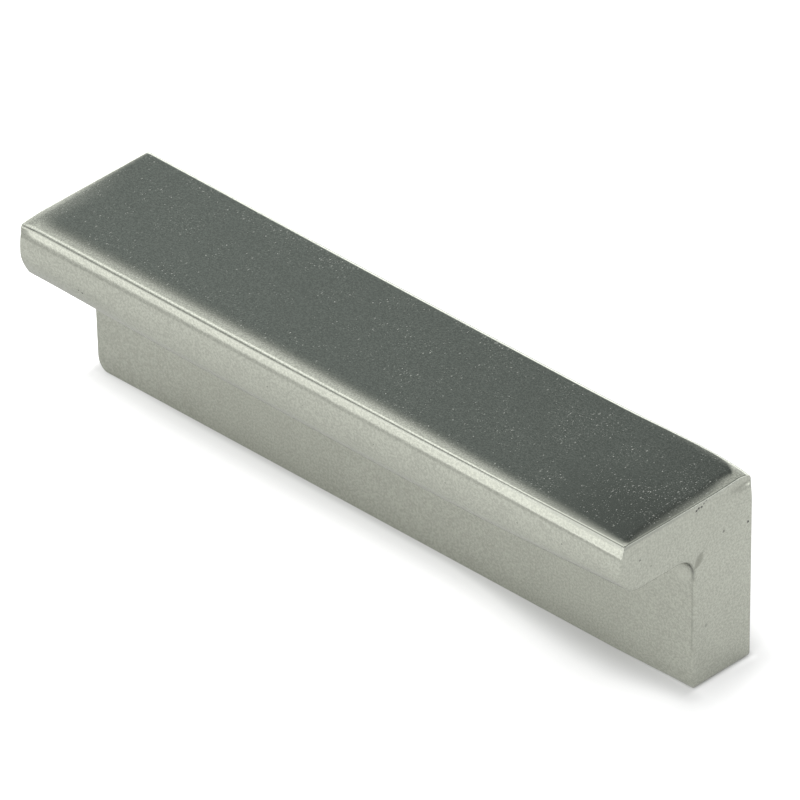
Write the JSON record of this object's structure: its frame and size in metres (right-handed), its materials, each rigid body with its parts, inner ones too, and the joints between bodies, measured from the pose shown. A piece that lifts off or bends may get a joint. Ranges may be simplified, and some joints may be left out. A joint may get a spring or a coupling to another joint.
{
  "type": "cabinet pull",
  "caption": "Ledge-style cabinet pull of upside-down L section: a grip that overhangs a full-length leg, screwed on from behind through tapped holes in the foot.",
  "frame": {"origin": "on the mounting face, midway between the two screw holes", "axes": "+X along the pull, -Y to the front where the fingers reach under the grip, +Z away from the drawer front"},
  "size_m": [0.108, 0.0246, 0.029],
  "materials": {
    "satin_nickel": "satin nickel plate on cast zinc alloy"
  },
  "bodies": {
    "root": {"pull_body": "satin_nickel"}
  },
  "joints": []
}
